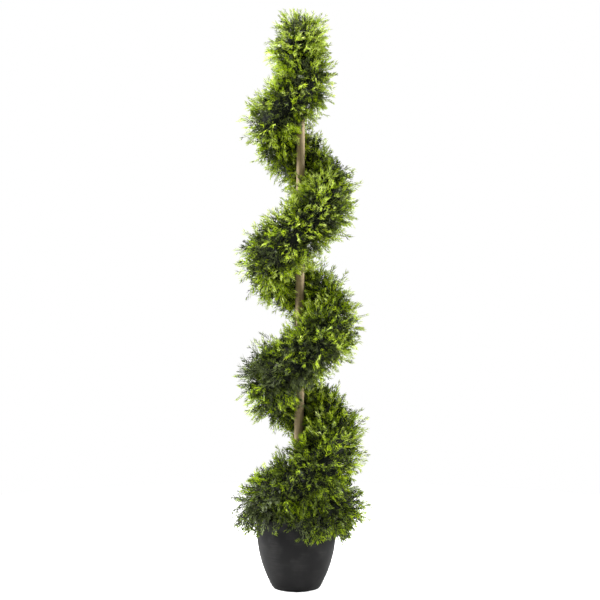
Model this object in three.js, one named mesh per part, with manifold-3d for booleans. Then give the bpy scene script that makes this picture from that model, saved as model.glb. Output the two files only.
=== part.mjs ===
// Artificial spiral topiary, 1.5 m tall: cedar-like sprays on a garland that winds up a slender
// wooden trunk, which stands in the ballast of a charcoal pot.
// Millimetres, +Z up. The origin is the middle of the pot's flat underside.

import * as THREE from "three";
import { mergeVertices } from "three/addons/utils/BufferGeometryUtils.js";
import Module from "manifold-3d";

const wasm = await Module();
wasm.setup();

// ---------------------------------------------------------------- driving dimensions

const OVERALL_HEIGHT = 1500;
const CLEARANCE = 0.35; // gap between pieces that touch
const SLIVER = 0.02; // detail finer than this is closed
const WELD = 1e-3; // corners closer than this are one
const SEED = 3456;

const POT = {
  height: 184,
  baseRadius: 60,
  bellyRadius: 102.8, // outside, where the wall stands upright
  bellyHeight: 150,
  wall: 5,
  floor: 7,
  rimRound: 2,
  sides: 32,
};

const BALLAST = {
  top: 158, // where it meets the pot's wall
  crown: 5, // how much higher its middle is
  wallGap: 2.2, // keeps its facets clear of the pot's
};

const TRUNK = {
  footX: 5.5,
  tipX: 12.5,
  sway: 2.5, // how far it bows to the back and front
  tipHeight: 1388,
  footRadius: 13,
  tipRadius: 9.5,
  flare: 6, // extra radius at the foot
  flareHeight: 26,
  sides: 12,
  rings: 16,
};

// The garland's centre line: a right-handed helix that settles into a ring on the pot's rim and
// closes in on the trunk at the top. Turns are in degrees, counted up from the lowest right side.
const SPIRAL = {
  start: -396,
  end: 1141,
  azimuthAtZero: -6,
  heightAtZero: 361,
  pitch: 330.5,
  ringHeight: 203,
  ringEasing: 26, // rounds the corner between ring and climb
  lowHeight: 200, // the heights between which the sizes below change
  highHeight: 1400,
  axisX: [15, -2], // at lowHeight and highHeight
  crossingShift: 17, // how far it stands to the right where it passes before and behind the trunk
  radius: [77.5, 66],
  reach: [100, 85], // from the centre line to the spray tips
  closingTurn: 317, // the last stretch, in which the radius falls to nothing
  // Wrapped by hand, it isn't even: its rises above the helix, one for each half turn
  unevenFrom: -174,
  halfTurn: 180,
  rises: [5, 15, 0, -10, -15, -15, 15, 10],
};

const MASSES = { count: 13, turn: 119, halfGap: 0.6 };

const CORE = {
  share: 0.64, // of the reach
  outward: 4, // how far its middle stands outside the centre line
  lump: 0.08,
  sides: 9,
  steps: 5,
  endRounding: 46, // length of the rounded end at the bottom and at the top
  topTurn: 33, // how far it goes on upwards past the end of the centre line
};

const STEM = { trunkRadius: 4, coreRadius: 3, drop: 22, sides: 6 };

const SPRAY = {
  spacing: 6.7, // along the centre line
  perEndDome: 8,
  shoulder: 0.15, // how much further the slanting sprays of a dome reach
  sink: 12, // how deep a root sits in the core
  width: 1.12, // of the length
  thickness: 5,
  droop: 0.1, // tip's fall out of its plane, as a share of the length
  teeth: 2, // on each side, besides the tip
  reachSpread: 0.08,
  shortest: 24,
};

// The poses that a spray tries in turn. Sway is the lean along the garland, twist the turn of its
// flat side away from the mass's ends, outward the lean away from the trunk, reach its length.
const SPRAY_POSES = [
  { sway: 1, twist: 1, outward: 0, reach: 1 },
  { sway: 0.3, twist: 0.2, outward: 0, reach: 1 },
  { sway: 0.3, twist: 0.5, outward: 0.6, reach: 1 },
  { sway: 0, twist: 0.1, outward: 1.2, reach: 0.97 },
  { sway: 0, twist: 0.1, outward: 0.3, reach: 0.84 },
];

const GOLDEN_TURN = Math.PI * (3 - Math.sqrt(5));

const COLOURS = {
  pot: { color: 0x39393b, roughness: 0.82, metalness: 0 },
  ballast: { color: 0x1d1915, roughness: 0.95, metalness: 0 },
  trunk: { color: 0x85705a, roughness: 0.85, metalness: 0 },
  foliage: { color: 0x4c6f1c, roughness: 0.6, metalness: 0 },
};

// ---------------------------------------------------------------- small helpers

// A repeatable random stream (mulberry32): each call gives a number from 0 to 1.
function randomStream(seed) {
  let state = seed >>> 0;
  return () => {
    state = (state + 0x6d2b79f5) >>> 0;
    let t = state;
    t = Math.imul(t ^ (t >>> 15), t | 1);
    t ^= t + Math.imul(t ^ (t >>> 7), t | 61);
    return ((t ^ (t >>> 14)) >>> 0) / 4294967296;
  };
}

const between = (pair, share) => pair[0] + (pair[1] - pair[0]) * share;
const smooth = (share) => share * share * (3 - 2 * share);
const clampShare = (value) => Math.min(1, Math.max(0, value));
const radians = THREE.MathUtils.degToRad;

// The geometry with one vertex at each corner, whatever its seams and caps.
function welded(geometry) {
  const bare = geometry.clone();
  bare.deleteAttribute("normal");
  bare.deleteAttribute("uv");
  return mergeVertices(bare, WELD);
}

// Welds a geometry and moves each of its vertices to place(vertex).
function reshape(geometry, place) {
  const shaped = welded(geometry);
  const position = shaped.attributes.position;
  const vertex = new THREE.Vector3();
  for (let i = 0; i < position.count; i++) {
    const moved = place(vertex.fromBufferAttribute(position, i));
    position.setXYZ(i, moved.x, moved.y, moved.z);
  }
  shaped.computeVertexNormals();
  return shaped;
}

// A closed three.js geometry as a manifold-3d solid.
function solidOf(geometry) {
  const mesh = welded(geometry);
  return new wasm.Manifold(
    new wasm.Mesh({
      numProp: 3,
      vertProperties: new Float32Array(mesh.attributes.position.array),
      triVerts: new Uint32Array(mesh.index.array),
    }),
  );
}

function largestBody(solid) {
  return solid.decompose().reduce((a, b) => (a.volume() > b.volume() ? a : b));
}

function geometryFrom(solid) {
  const mesh = solid.getMesh();
  const positions = new Float32Array(mesh.numVert * 3);
  for (let i = 0; i < mesh.numVert; i++) {
    const at = i * mesh.numProp;
    positions.set(mesh.vertProperties.subarray(at, at + 3), i * 3);
  }
  const geometry = new THREE.BufferGeometry();
  geometry.setAttribute("position", new THREE.BufferAttribute(positions, 3));
  geometry.setIndex(new THREE.BufferAttribute(new Uint32Array(mesh.triVerts), 1));
  return geometry;
}

// A manifold-3d solid as a three.js geometry. Slivers are closed, and so are necks thinner than the
// weld, and then whatever scrap has come loose is dropped.
function geometryOf(solid) {
  const closed = geometryFrom(largestBody(solid.simplify(SLIVER)));
  const geometry = geometryFrom(largestBody(solidOf(closed)));
  geometry.computeVertexNormals();
  return geometry;
}

function namedMesh(name, geometry, look) {
  const mesh = new THREE.Mesh(geometry, new THREE.MeshStandardMaterial(look));
  mesh.name = name;
  return mesh;
}

// ---------------------------------------------------------------- pot and ballast

// The wall's outer radius: one circular arc from the foot to the upright belly, and on over the rim.
function potRadius(z) {
  const sagitta = POT.bellyRadius - POT.baseRadius;
  const arc = (POT.bellyHeight ** 2 + sagitta ** 2) / (2 * sagitta);
  const drop = arc - Math.sqrt(arc ** 2 - (z - POT.bellyHeight) ** 2);
  return POT.bellyRadius - drop;
}

function latheFromHalfSection(points) {
  const outline = points.map(([r, z]) => new THREE.Vector2(r, z));
  return new THREE.LatheGeometry(outline, POT.sides).rotateX(Math.PI / 2);
}

function pot() {
  const outerSteps = 8;
  const innerSteps = 4;
  const { height, floor, wall, rimRound } = POT;
  const section = [[0, 0]];
  for (let i = 0; i <= outerSteps; i++) {
    const z = ((height - rimRound) * i) / outerSteps;
    section.push([potRadius(z), z]);
  }
  section.push([potRadius(height) - rimRound, height]);
  section.push([potRadius(height) - wall + rimRound / 2, height]);
  for (let i = innerSteps; i >= 0; i--) {
    const z = floor + ((height - rimRound - floor) * i) / innerSteps;
    section.push([potRadius(z) - wall, z]);
  }
  section.push([0, floor]);
  return namedMesh("pot", latheFromHalfSection(section), COLOURS.pot);
}

// The cast weight that holds the trunk, with its dressing: a plug with a slightly crowned top.
function ballast() {
  const wallSteps = 4;
  const bottom = POT.floor + CLEARANCE;
  const inside = (z) => potRadius(z) - POT.wall - BALLAST.wallGap;
  const section = [[0, bottom]];
  for (let i = 0; i <= wallSteps; i++) {
    const z = bottom + ((BALLAST.top - bottom) * i) / wallSteps;
    section.push([inside(z), z]);
  }
  section.push([inside(BALLAST.top) * 0.6, BALLAST.top + BALLAST.crown * 0.7]);
  section.push([TRUNK.footRadius * 2.2, BALLAST.top + BALLAST.crown]);
  section.push([0, BALLAST.top + BALLAST.crown]);
  return namedMesh("ballast", latheFromHalfSection(section), COLOURS.ballast);
}

// ---------------------------------------------------------------- trunk

const TRUNK_FOOT = BALLAST.top + BALLAST.crown + CLEARANCE;

function trunkCentre(z) {
  const share = (z - TRUNK_FOOT) / (TRUNK.tipHeight - TRUNK_FOOT);
  return new THREE.Vector3(
    between([TRUNK.footX, TRUNK.tipX], share),
    TRUNK.sway * Math.sin(2 * Math.PI * share),
    z,
  );
}

function trunkRadius(z) {
  const share = clampShare((z - TRUNK_FOOT) / (TRUNK.tipHeight - TRUNK_FOOT));
  const above = clampShare((z - TRUNK_FOOT) / TRUNK.flareHeight);
  const flare = TRUNK.flare * (1 - above) ** 2;
  return between([TRUNK.footRadius, TRUNK.tipRadius], share) + flare;
}

// A tapering rod on the trunk's centre line, grown by the given amount all round.
function trunkGeometry(grown) {
  const foot = TRUNK_FOOT - grown;
  const height = TRUNK.tipHeight + grown - foot;
  const rod = new THREE.CylinderGeometry(1, 1, 1, TRUNK.sides, TRUNK.rings);
  return reshape(rod, (v) => {
    const rise = v.y + 0.5;
    // rings stand closer together at the foot, where the flare curves
    const z = foot + height * (0.45 * rise + 0.55 * rise * rise);
    const centre = trunkCentre(z);
    const radius = trunkRadius(z) + grown;
    return new THREE.Vector3(centre.x + radius * v.z, centre.y + radius * v.x, z);
  });
}

// ---------------------------------------------------------------- the garland's centre line

// How far above the even helix the hand-wrapped line runs at a turn.
function unevenRise(turn) {
  const last = SPIRAL.rises.length - 1;
  const along = last * clampShare((turn - SPIRAL.unevenFrom) / (SPIRAL.halfTurn * last));
  const before = Math.min(Math.floor(along), last - 1);
  return between(SPIRAL.rises.slice(before, before + 2), smooth(along - before));
}

function spiralPoint(turn) {
  const climb =
    SPIRAL.heightAtZero + (SPIRAL.pitch * turn) / 360 - SPIRAL.ringHeight;
  const z = SPIRAL.ringHeight + (climb + Math.hypot(climb, SPIRAL.ringEasing)) / 2;
  const share = clampShare(
    (z - SPIRAL.lowHeight) / (SPIRAL.highHeight - SPIRAL.lowHeight),
  );
  const closing = clampShare(
    (turn - SPIRAL.end + SPIRAL.closingTurn) / SPIRAL.closingTurn,
  );
  const radius = between(SPIRAL.radius, share) * (1 - smooth(closing));
  const azimuth = radians(turn + SPIRAL.azimuthAtZero);
  const climbed = clampShare((3 * (z - SPIRAL.ringHeight)) / SPIRAL.pitch);
  const shift = climbed * SPIRAL.crossingShift * Math.sin(azimuth) ** 2;
  return {
    at: new THREE.Vector3(
      between(SPIRAL.axisX, share) + shift + radius * Math.cos(azimuth),
      radius * Math.sin(azimuth),
      z + climbed * unevenRise(turn),
    ),
    away: new THREE.Vector3(Math.cos(azimuth), Math.sin(azimuth), 0),
    reach: between(SPIRAL.reach, share),
  };
}

// The centre line with its directions: along it, away from the trunk, and across both.
function spiralFrame(turn) {
  const here = spiralPoint(turn);
  const step = 2;
  const along = spiralPoint(turn + step)
    .at.sub(spiralPoint(turn - step).at)
    .normalize();
  const away = here.away.addScaledVector(along, -here.away.dot(along)).normalize();
  return { ...here, along, away, across: along.clone().cross(away) };
}

const SPIRAL_SAMPLES = [];
for (let turn = SPIRAL.start; turn <= SPIRAL.end; turn += 12) {
  SPIRAL_SAMPLES.push({ turn, at: spiralPoint(turn).at });
}

// ---------------------------------------------------------------- foliage masses

function massRange(index) {
  const first = index === 0;
  const last = index === MASSES.count - 1;
  const from = SPIRAL.start + MASSES.turn * index;
  const to = last ? SPIRAL.end : from + MASSES.turn;
  return { from, to, first, last };
}

// The dense inside of a mass: a lumpy rod bent along the centre line, flat where it meets the next
// mass and rounded at the garland's two ends.
function massCore(range, random) {
  const from = range.from;
  const to = range.last ? range.to + CORE.topTurn : range.to;
  const rod = new THREE.CylinderGeometry(1, 1, 1, CORE.sides, CORE.steps);
  return reshape(rod, (v) => {
    const rise = v.y + 0.5;
    const frame = spiralFrame(from + (to - from) * rise);
    let size = frame.reach * CORE.share;
    const open = (range.first && rise < 0.3) || (range.last && rise > 0.7);
    if (open) {
      const end = spiralFrame(range.first ? from : to);
      const left = Math.min(1, frame.at.distanceTo(end.at) / CORE.endRounding);
      size *= Math.sqrt(0.1 + 0.9 * (1 - (1 - left) ** 2));
    }
    size *= 1 + CORE.lump * (2 * random() - 1);
    const shift = rise < 1e-6 ? 1 : rise > 1 - 1e-6 ? -1 : 0;
    return frame.at
      .addScaledVector(frame.away, size * v.x + CORE.outward)
      .addScaledVector(frame.across, -size * v.z)
      .addScaledVector(frame.along, shift * MASSES.halfGap);
  });
}

// The one stem of a mass, from inside the trunk out to the middle of the core. The part inside the
// trunk is cut away afterwards, which leaves it just clear of the bark.
function massStem(range) {
  const middle = spiralFrame((range.from + Math.min(range.to, range.from + 100)) / 2);
  const low = Math.max(middle.at.z - STEM.drop, POT.height + STEM.trunkRadius * 2);
  const from = trunkCentre(Math.min(low, TRUNK.tipHeight - 20));
  const direction = middle.at.clone().sub(from);
  const rod = new THREE.CylinderGeometry(
    STEM.coreRadius,
    STEM.trunkRadius,
    direction.length(),
    STEM.sides,
  );
  rod.translate(0, direction.length() / 2, 0);
  rod.applyQuaternion(
    new THREE.Quaternion().setFromUnitVectors(
      new THREE.Vector3(0, 1, 0),
      direction.clone().normalize(),
    ),
  );
  return rod.translate(from.x, from.y, from.z);
}

// The outline of a spray of cedar, root first: pairs of side teeth that point forward, a notch
// after each, then the tip. Numbers are shares of its width and length.
function sprayOutline(random) {
  const jitter = () => 0.05 * (2 * random() - 1);
  const side = [];
  for (let tooth = 0; tooth < SPRAY.teeth; tooth++) {
    const up = tooth / SPRAY.teeth;
    side.push([0.5 - 0.22 * up, 0.5 + 0.66 * up]);
    side.push([0.22 - 0.16 * up, 0.58 + 0.44 * up]);
  }
  const vary = ([x, y]) => [x + jitter(), y + jitter()];
  const right = side.map(vary);
  const left = side.map(vary).map(([x, y]) => [-x, y]);
  return [[0, 0], ...right, [jitter(), 1], ...left.reverse()];
}

// One spray: a thin blade, thickest along its middle and sharp at its toothed edge, as a two-ring
// sphere whose equator is drawn out to the outline.
function sprayGeometry(outline, length, root, direction, flat) {
  const equator = outline.length;
  const blade = new THREE.SphereGeometry(1, equator, 2);
  const side = new THREE.Vector3().crossVectors(direction, flat).normalize();
  const face = new THREE.Vector3().crossVectors(side, direction).normalize();
  const width = length * SPRAY.width;
  const place = (x, y, out) =>
    root
      .clone()
      .addScaledVector(side, x * width)
      .addScaledVector(direction, y * length)
      .addScaledVector(face, out - SPRAY.droop * length * y * y);
  return reshape(blade, (v) => {
    if (Math.abs(v.y) > 0.5) {
      return place(0, 0.6, (-Math.sign(v.y) * SPRAY.thickness) / 2);
    }
    const turn = (Math.atan2(v.z, v.x) / (2 * Math.PI) + 1) % 1;
    const [x, y] = outline[Math.round(turn * equator) % equator];
    return place(x, y, 0);
  });
}

// Points spread over a blade: its two middles, its edge, and halfway between.
function bladePoints(geometry) {
  const position = geometry.attributes.position;
  const points = [];
  for (let i = 0; i < position.count; i++) {
    points.push(new THREE.Vector3().fromBufferAttribute(position, i));
  }
  const halfway = points.map((point) => points[0].clone().lerp(point, 0.5));
  return [...points, ...halfway];
}

function nearestTurn(point) {
  let best = Infinity;
  let turn = 0;
  for (const sample of SPIRAL_SAMPLES) {
    const distance = sample.at.distanceToSquared(point);
    if (distance < best) {
      best = distance;
      turn = sample.turn;
    }
  }
  return turn;
}

// The trunk, and the pot as if it were full, grown by some air: what the foliage keeps out of.
function trunkAndPot(air) {
  const radius = POT.bellyRadius + air;
  const height = POT.height + air;
  const full = new THREE.CylinderGeometry(radius, radius, height, POT.sides);
  full.rotateX(Math.PI / 2).translate(0, 0, height / 2);
  return solidOf(trunkGeometry(air)).add(solidOf(full));
}

const keepOut = trunkAndPot(2 * CLEARANCE);
const cutAway = trunkAndPot(CLEARANCE);

// Whether a blade keeps to the space of its mass, below the top, and off the trunk and the pot.
function keepsToItsSpace(blade, range) {
  const from = spiralFrame(range.from);
  const to = spiralFrame(range.to);
  const slackTurn = 40;
  const probe = new THREE.Vector3();
  for (const point of bladePoints(blade)) {
    const pastFrom = probe.subVectors(point, from.at).dot(from.along);
    if (!range.first && pastFrom < MASSES.halfGap) return false;
    const pastTo = probe.subVectors(point, to.at).dot(to.along);
    if (!range.last && pastTo > -MASSES.halfGap) return false;
    const turn = nearestTurn(point);
    if (turn < range.from - slackTurn || turn > range.to + slackTurn) return false;
    if (point.z > OVERALL_HEIGHT) return false;
  }
  return solidOf(blade).intersect(keepOut).isEmpty();
}

function centreLineLength(range) {
  let length = 0;
  for (let turn = range.from; turn < range.to; turn++) {
    length += spiralPoint(turn).at.distanceTo(spiralPoint(turn + 1).at);
  }
  return length;
}

// Where a mass's sprays start and which way they point: steps of the golden turn round the centre
// line, and a dome of them over a free end.
function sprayStarts(range, random) {
  const starts = [];
  const spin = random() * 2 * Math.PI;
  const count = Math.round(centreLineLength(range) / SPRAY.spacing);
  for (let k = 0; k < count; k++) {
    const share = (k + 0.15 + 0.7 * random()) / count;
    const frame = spiralFrame(range.from + (range.to - range.from) * share);
    const angle = spin + k * GOLDEN_TURN + 0.4 * (random() - 0.5);
    const out = frame.away
      .clone()
      .multiplyScalar(Math.cos(angle))
      .addScaledVector(frame.across, Math.sin(angle));
    starts.push({ frame, out });
  }
  if (range.first || range.last) {
    const frame = spiralFrame(range.first ? range.from : range.to);
    const onward = frame.along.clone().multiplyScalar(range.first ? -1 : 1);
    for (let k = 0; k < SPRAY.perEndDome; k++) {
      const tilt = Math.acos(1 - (k + 0.5) / SPRAY.perEndDome);
      const angle = spin + k * GOLDEN_TURN;
      const out = onward
        .clone()
        .multiplyScalar(Math.cos(tilt))
        .addScaledVector(frame.away, Math.sin(tilt) * Math.cos(angle))
        .addScaledVector(frame.across, Math.sin(tilt) * Math.sin(angle));
      const domeReach = 1 + SPRAY.shoulder * Math.sin(2 * tilt);
      starts.push({ frame, out, domeReach });
    }
  }
  return starts;
}

// The sprays of one mass. Each tries its poses in turn, and one that never fits is skipped.
function massSprays(range, random) {
  const sprays = [];
  for (const { frame, out, domeReach } of sprayStarts(range, random)) {
    const outline = sprayOutline(random);
    const sway = domeReach ? 0 : 0.3 * (2 * random() - 1);
    const twist = Math.PI * random();
    const spread = SPRAY.reachSpread * random();
    const full = frame.reach * (domeReach ? domeReach * (1 - spread) : 1 + 2 * spread);
    const sunk = (domeReach ? 0.35 : 1) * frame.reach * CORE.share - SPRAY.sink;
    const root = frame.at.clone().addScaledVector(out, sunk);
    for (const pose of SPRAY_POSES) {
      const direction = out
        .clone()
        .addScaledVector(frame.along, sway * pose.sway)
        .addScaledVector(frame.away, pose.outward)
        .normalize();
      const along = sunk * out.dot(direction);
      const length = Math.sqrt(along ** 2 + (full * pose.reach) ** 2 - sunk ** 2) - along;
      if (length < SPRAY.shortest) continue;
      const flat = frame.along.clone().applyAxisAngle(direction, pose.twist * twist);
      const blade = sprayGeometry(outline, length, root, direction, flat);
      if (keepsToItsSpace(blade, range)) {
        sprays.push(blade);
        break;
      }
    }
  }
  return sprays;
}

function foliageMass(index) {
  const range = massRange(index);
  const random = randomStream(SEED + 97 * index);
  let solid = solidOf(massCore(range, random)).add(solidOf(massStem(range)));
  for (const spray of massSprays(range, random)) {
    solid = solid.add(solidOf(spray));
  }
  solid = solid.subtract(cutAway);
  const name = `foliage_${String(index + 1).padStart(2, "0")}`;
  return namedMesh(name, geometryOf(solid), COLOURS.foliage);
}

// ---------------------------------------------------------------- the whole tree

const topiary = new THREE.Group();
topiary.name = "spiral_topiary";
topiary.add(pot(), ballast());
topiary.add(namedMesh("trunk", trunkGeometry(0), COLOURS.trunk));
for (let index = 0; index < MASSES.count; index++) {
  topiary.add(foliageMass(index));
}

export default topiary;
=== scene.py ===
"""Artificial spiral topiary: the looks of its pot, filling, trunk and garland of cedar-like sprays."""

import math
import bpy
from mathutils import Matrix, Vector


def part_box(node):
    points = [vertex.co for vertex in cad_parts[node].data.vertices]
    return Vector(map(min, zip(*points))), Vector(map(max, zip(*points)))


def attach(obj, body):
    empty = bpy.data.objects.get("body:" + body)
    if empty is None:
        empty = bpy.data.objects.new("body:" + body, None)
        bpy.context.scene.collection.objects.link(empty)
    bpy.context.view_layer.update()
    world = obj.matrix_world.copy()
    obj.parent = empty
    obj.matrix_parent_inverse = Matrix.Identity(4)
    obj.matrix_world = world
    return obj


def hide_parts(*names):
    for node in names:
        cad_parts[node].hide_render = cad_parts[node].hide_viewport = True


bl_info = {
    "name": "Spiral topiary",
    "version": (1, 0, 0),
    "blender": (4, 5, 0),
    "location": "View3D > Sidebar > Topiary",
    "description": "Dresses the spiral topiary's frame with pot, filling, trunk, twigs and sprays",
    "category": "Object",
}

import bmesh
import bpy
import numpy as np
from bpy.props import FloatProperty, FloatVectorProperty, IntProperty, PointerProperty
from mathutils import Vector, noise

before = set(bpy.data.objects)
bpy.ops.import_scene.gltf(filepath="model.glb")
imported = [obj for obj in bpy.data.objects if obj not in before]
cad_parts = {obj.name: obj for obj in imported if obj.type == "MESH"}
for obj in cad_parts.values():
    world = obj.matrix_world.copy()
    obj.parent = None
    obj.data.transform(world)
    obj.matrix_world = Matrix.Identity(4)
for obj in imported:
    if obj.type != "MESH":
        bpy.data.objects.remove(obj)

MM = 0.001
GOLDEN_TURN = math.pi * (3 - math.sqrt(5))
MASSES = sorted(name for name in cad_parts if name.startswith("foliage_"))
POT_LOW, POT_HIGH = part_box("pot")
POT_HEIGHT = POT_HIGH.z
POT_BELLY = (POT_HIGH.x - POT_LOW.x) / 2
BALLAST_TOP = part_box("ballast")[1].z
TRUNK_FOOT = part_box("trunk")[0].z
TRUNK_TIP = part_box("trunk")[1].z
# No spray stands higher than this.
GARLAND_TOP = max(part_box(name)[1].z for name in MASSES) + 3 * MM

# ------------------------------------------------------------------ the frame's own lines

# The trunk's centre line and girth, as the frame has them.
TRUNK_FOOT_X = 5.5 * MM
TRUNK_TIP_X = 12.5 * MM
TRUNK_SWAY = 2.5 * MM
TRUNK_FOOT_RADIUS = 13 * MM
TRUNK_TIP_RADIUS = 9.5 * MM
TRUNK_FLARE = 6 * MM
TRUNK_FLARE_HEIGHT = 26 * MM

# The garland's centre line: a helix that settles into a ring on the pot's rim and closes in on the
# trunk at the top. Turns are in degrees. Pairs hold for the low and the high end of the climb.
SPIRAL_START = -396
SPIRAL_END = 1141
SPIRAL_AZIMUTH_AT_ZERO = -6
SPIRAL_HEIGHT_AT_ZERO = 361 * MM
SPIRAL_PITCH = 330.5 * MM
SPIRAL_RING_HEIGHT = 203 * MM
SPIRAL_RING_EASING = 26 * MM
SPIRAL_CLIMB = (200 * MM, 1400 * MM)
SPIRAL_AXIS_X = (15 * MM, -2 * MM)
SPIRAL_CROSSING_SHIFT = 17 * MM
SPIRAL_RADIUS = (77.5 * MM, 66 * MM)
SPIRAL_REACH = (100 * MM, 85 * MM)
SPIRAL_CLOSING_TURN = 317
# Wrapped by hand, it isn't even: its rises above the helix, one for each half turn.
SPIRAL_UNEVEN_FROM = -174
SPIRAL_HALF_TURN = 180
SPIRAL_RISES = np.array((5, 15, 0, -10, -15, -15, 15, 10)) * MM
MASS_TURN = 119


def smooth_step(share):
    """Eases a share between 0 and 1, level at both ends."""
    return share * share * (3 - 2 * share)


def ramp(values, start, run):
    """0 up to the start, 1 from a run past it, and even between them."""
    return np.clip((values - start) / run, 0, 1)


def unit(vectors):
    """The same directions with a length of one."""
    return vectors / np.linalg.norm(vectors, axis=-1, keepdims=True)


def square_to(directions):
    """Two directions square to each given one and to each other."""
    helper = np.where(np.abs(directions[:, 2:3]) > 0.8, [[1.0, 0, 0]], [[0, 0, 1.0]])
    side = unit(np.cross(directions, helper))
    return side, np.cross(directions, side)


def trunk_centre(z):
    """The trunk's centre at a height or at an array of heights."""
    share = (z - TRUNK_FOOT) / (TRUNK_TIP - TRUNK_FOOT)
    x = TRUNK_FOOT_X + (TRUNK_TIP_X - TRUNK_FOOT_X) * share
    return x, TRUNK_SWAY * np.sin(2 * np.pi * share)


def trunk_radius(z):
    """The trunk's radius at a height, with the flare at its foot."""
    share = np.clip((z - TRUNK_FOOT) / (TRUNK_TIP - TRUNK_FOOT), 0, 1)
    above = np.clip((z - TRUNK_FOOT) / TRUNK_FLARE_HEIGHT, 0, 1)
    straight = TRUNK_FOOT_RADIUS + (TRUNK_TIP_RADIUS - TRUNK_FOOT_RADIUS) * share
    return straight + TRUNK_FLARE * (1 - above) ** 2


def uneven_rise(turns):
    """How far above the even helix the hand-wrapped line runs at each turn."""
    last = len(SPIRAL_RISES) - 1
    along = np.clip((turns - SPIRAL_UNEVEN_FROM) / SPIRAL_HALF_TURN, 0, last)
    before = np.minimum(along.astype(int), last - 1)
    step = SPIRAL_RISES[before + 1] - SPIRAL_RISES[before]
    return SPIRAL_RISES[before] + step * smooth_step(along - before)


def garland_points(turns):
    """Centre, direction away from the trunk and reach of the sprays, at each turn."""
    climb = SPIRAL_HEIGHT_AT_ZERO + SPIRAL_PITCH * turns / 360 - SPIRAL_RING_HEIGHT
    z = SPIRAL_RING_HEIGHT + (climb + np.hypot(climb, SPIRAL_RING_EASING)) / 2
    low, high = SPIRAL_CLIMB
    share = np.clip((z - low) / (high - low), 0, 1)
    between = lambda pair: pair[0] + (pair[1] - pair[0]) * share
    closing = np.clip((turns - SPIRAL_END + SPIRAL_CLOSING_TURN) / SPIRAL_CLOSING_TURN, 0, 1)
    radius = between(SPIRAL_RADIUS) * (1 - smooth_step(closing))
    azimuth = np.radians(turns + SPIRAL_AZIMUTH_AT_ZERO)
    climbed = np.clip(3 * (z - SPIRAL_RING_HEIGHT) / SPIRAL_PITCH, 0, 1)
    shift = climbed * SPIRAL_CROSSING_SHIFT * np.sin(azimuth) ** 2
    x = between(SPIRAL_AXIS_X) + shift + radius * np.cos(azimuth)
    at = np.stack([x, radius * np.sin(azimuth), z + climbed * uneven_rise(turns)], axis=-1)
    away = np.stack([np.cos(azimuth), np.sin(azimuth), np.zeros_like(z)], axis=-1)
    return at, away, between(SPIRAL_REACH)


def garland_frames(turns):
    """The centre line with its directions along, away from the trunk and across both."""
    at, away, reach = garland_points(turns)
    ahead, behind = garland_points(turns + 2)[0], garland_points(turns - 2)[0]
    along = unit(ahead - behind)
    away = unit(away - along * np.sum(along * away, axis=-1, keepdims=True))
    return at, along, away, np.cross(along, away), reach


def mass_range(index):
    """First and last turn of a mass."""
    start = SPIRAL_START + MASS_TURN * index
    last = index == len(MASSES) - 1
    return start, SPIRAL_END if last else start + MASS_TURN


# ------------------------------------------------------------------ settings


def length(name, description, default):
    return FloatProperty(
        name=name, description=description, default=default, unit="LENGTH", precision=4, min=0
    )


def share(name, description, default):
    return FloatProperty(
        name=name, description=description, default=default, min=0, max=1, subtype="FACTOR"
    )


def count(name, description, default, least):
    return IntProperty(name=name, description=description, default=default, min=least)


def power(name, description, default):
    return FloatProperty(name=name, description=description, default=default, unit="POWER", min=0)


def colour(name, description, default):
    return FloatVectorProperty(
        name=name, description=description, default=default, subtype="COLOR", size=3, min=0, max=1
    )


class TopiaryPotSettings(bpy.types.PropertyGroup):
    """Sizes and colours of the pot and its filling"""

    wall: length("Wall", "Thickness of the pot's wall", 5 * MM)
    floor: length("Floor", "Height of the floor inside the pot", 7 * MM)
    foot_radius: length("Foot radius", "Radius of the flat underside", 60 * MM)
    foot_round: length("Foot round", "Radius of the rounded foot", 1.5 * MM)
    belly_height: length("Belly height", "Height at which the wall stands upright", 150 * MM)
    rim_round: length("Rim round", "Radius of the rounded lip", 2 * MM)
    charcoal: colour("Charcoal", "Colour of the bare wall", (0.0035, 0.0035, 0.0036))
    dust: colour("Dust", "Colour of the pale bloom on the wall", (0.023, 0.0225, 0.022))
    dusting: share("Dusting", "How much of the wall the bloom covers", 0.5)
    painted_shade_hollows: colour("Filling hollows", "Colour of the filling's hollows", (0.006, 0.005, 0.004))
    crumbs: colour("Filling crumbs", "Colour of the filling's high spots", (0.035, 0.028, 0.02))


class TopiaryTrunkSettings(bpy.types.PropertyGroup):
    """Fineness and colours of the trunk"""

    sides: count("Sides", "Facets round the trunk", 64, 12)
    rings: count("Rings", "Rings along the trunk", 420, 40)
    relief: length("Relief", "Depth of the grooves in the wood", 0.5 * MM)
    pale: colour("Pale wood", "Colour of the ridges", (0.255, 0.195, 0.100))
    dark: colour("Dark wood", "Colour of the grooves", (0.082, 0.057, 0.028))


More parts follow.
